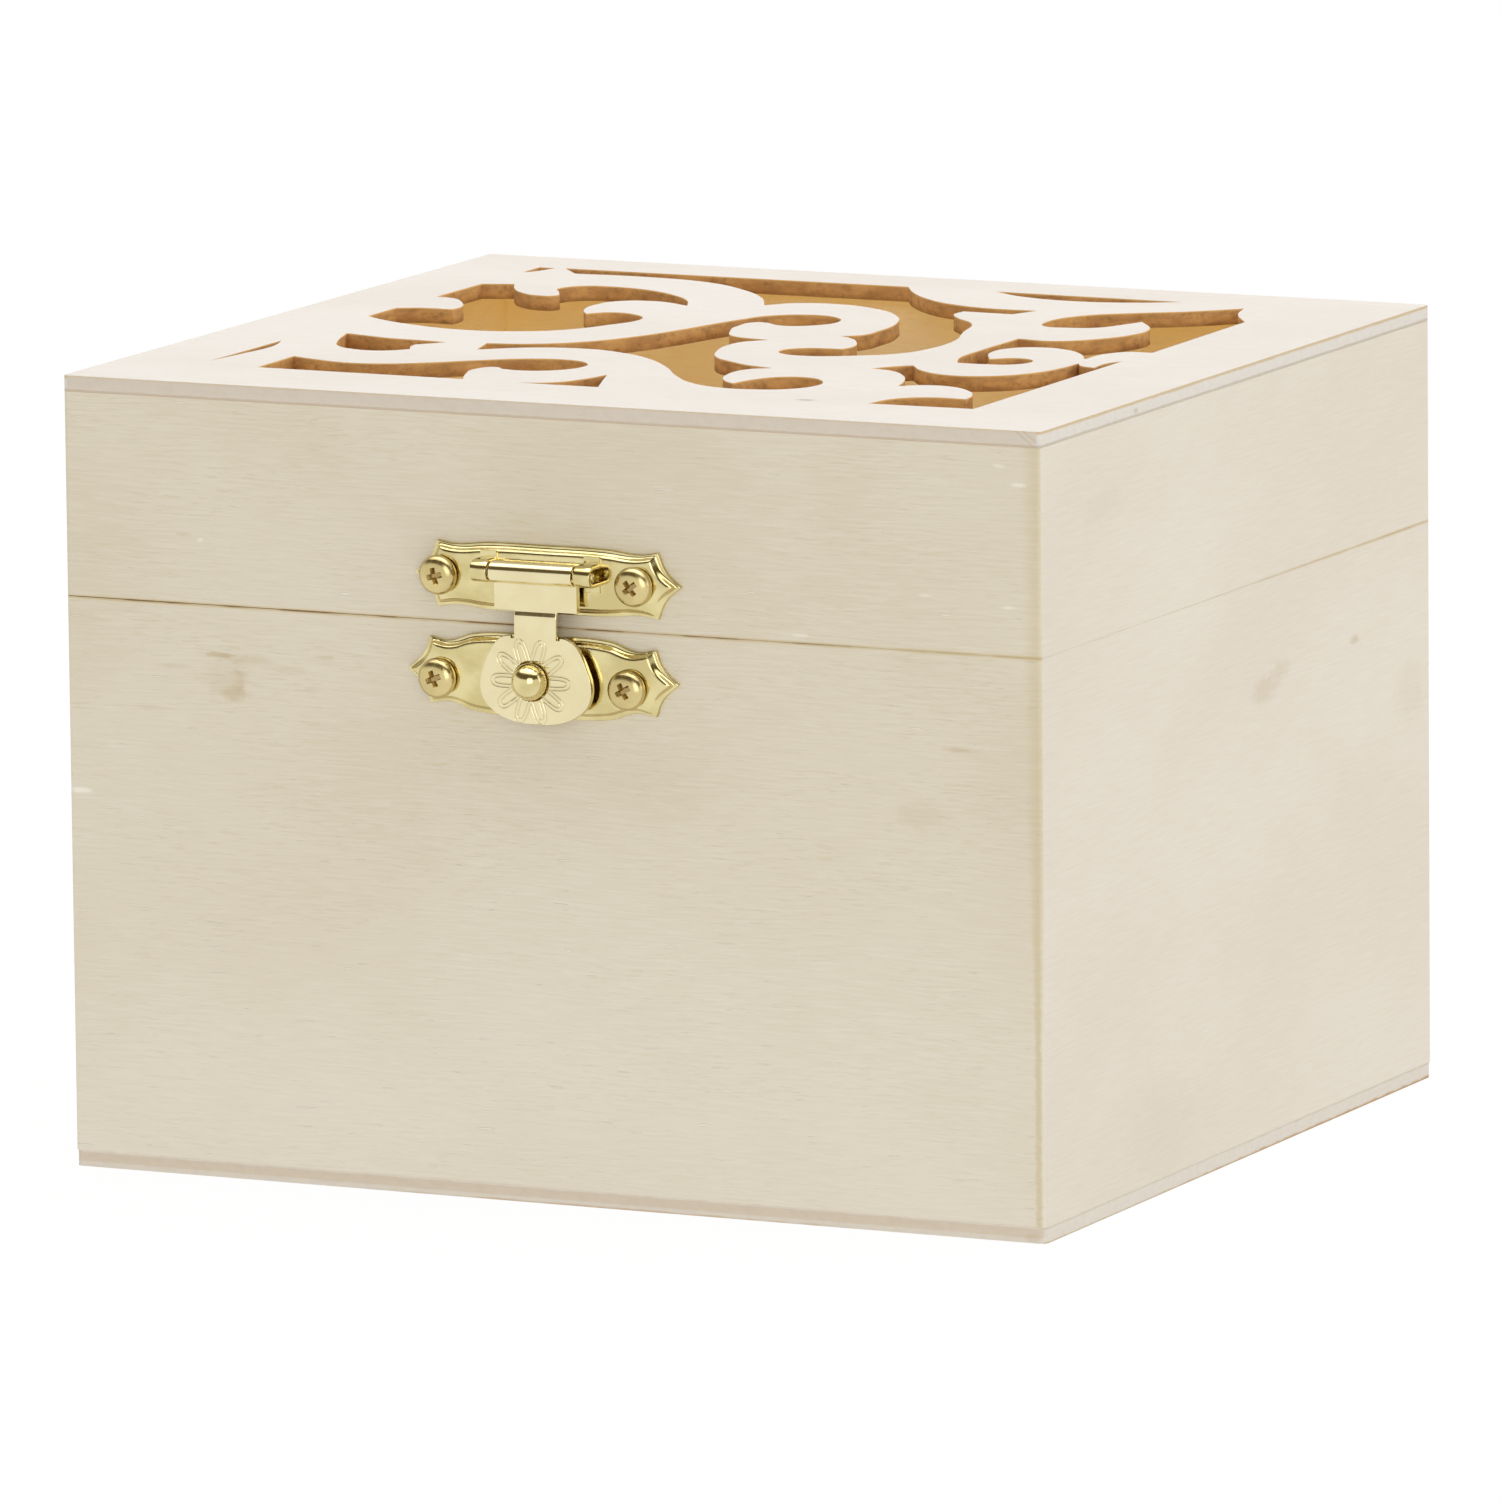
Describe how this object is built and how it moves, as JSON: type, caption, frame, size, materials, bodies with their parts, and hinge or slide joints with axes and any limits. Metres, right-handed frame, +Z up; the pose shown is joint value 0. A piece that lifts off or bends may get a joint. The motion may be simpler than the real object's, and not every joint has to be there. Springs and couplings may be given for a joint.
{
  "type": "hinged wooden box",
  "caption": "Plywood box whose lid has a scrolling fretwork top, hinged at the back and held by a pressed metal clasp with a swinging hasp over a catch knob.",
  "frame": {"origin": "centre of the bottom panel's underside, where the box stands", "axes": "+Z up, front with the clasp towards -Y, hinges towards +Y, +X to the right seen from the front"},
  "size_m": [0.12, 0.1163, 0.09],
  "materials": {
    "plywood": "bare sanded pale plywood",
    "fretted_plywood": "bare sanded pale plywood with toasted cut edges",
    "brass_plate": "bright brass-plated pressed sheet",
    "screw_metal": "brass-plated cross-head screws"
  },
  "bodies": {
    "base": {"bottom_panel": "plywood", "base_front_panel": "plywood", "base_back_panel": "plywood", "base_left_panel": "plywood", "base_right_panel": "plywood", "clasp_lower_plate": "brass_plate", "clasp_catch_knob": "brass_plate", "clasp_lower_left_screw": "screw_metal", "clasp_lower_right_screw": "screw_metal", "hinge_left_lower_leaf": "brass_plate", "hinge_left_pin": "brass_plate", "hinge_left_lower_leaf_screw_a": "screw_metal", "hinge_left_lower_leaf_screw_b": "screw_metal", "hinge_right_lower_leaf": "brass_plate", "hinge_right_pin": "brass_plate", "hinge_right_lower_leaf_screw_a": "screw_metal", "hinge_right_lower_leaf_screw_b": "screw_metal"},
    "lid": {"fretwork_top_panel": "fretted_plywood", "lid_front_panel": "plywood", "lid_back_panel": "plywood", "lid_left_panel": "plywood", "lid_right_panel": "plywood", "clasp_upper_plate": "brass_plate", "clasp_pin": "brass_plate", "clasp_upper_left_screw": "screw_metal", "clasp_upper_right_screw": "screw_metal", "hinge_left_upper_leaf": "brass_plate", "hinge_left_upper_leaf_screw_a": "screw_metal", "hinge_left_upper_leaf_screw_b": "screw_metal", "hinge_right_upper_leaf": "brass_plate", "hinge_right_upper_leaf_screw_a": "screw_metal", "hinge_right_upper_leaf_screw_b": "screw_metal"},
    "hasp": {"clasp_hasp": "brass_plate"}
  },
  "joints": [
    {"name": "lid_hinge", "type": "hinge", "parent": "base", "child": "lid", "pos_m": [0, 0.0557, 0.06515], "axis": [-1, 0, 0], "range_deg": [0, 170]},
    {"name": "hasp_pivot", "type": "hinge", "parent": "lid", "child": "hasp", "pos_m": [-0.0001, -0.05705, 0.0714], "axis": [-1, 0, 0], "range_deg": [0, 170]}
  ]
}
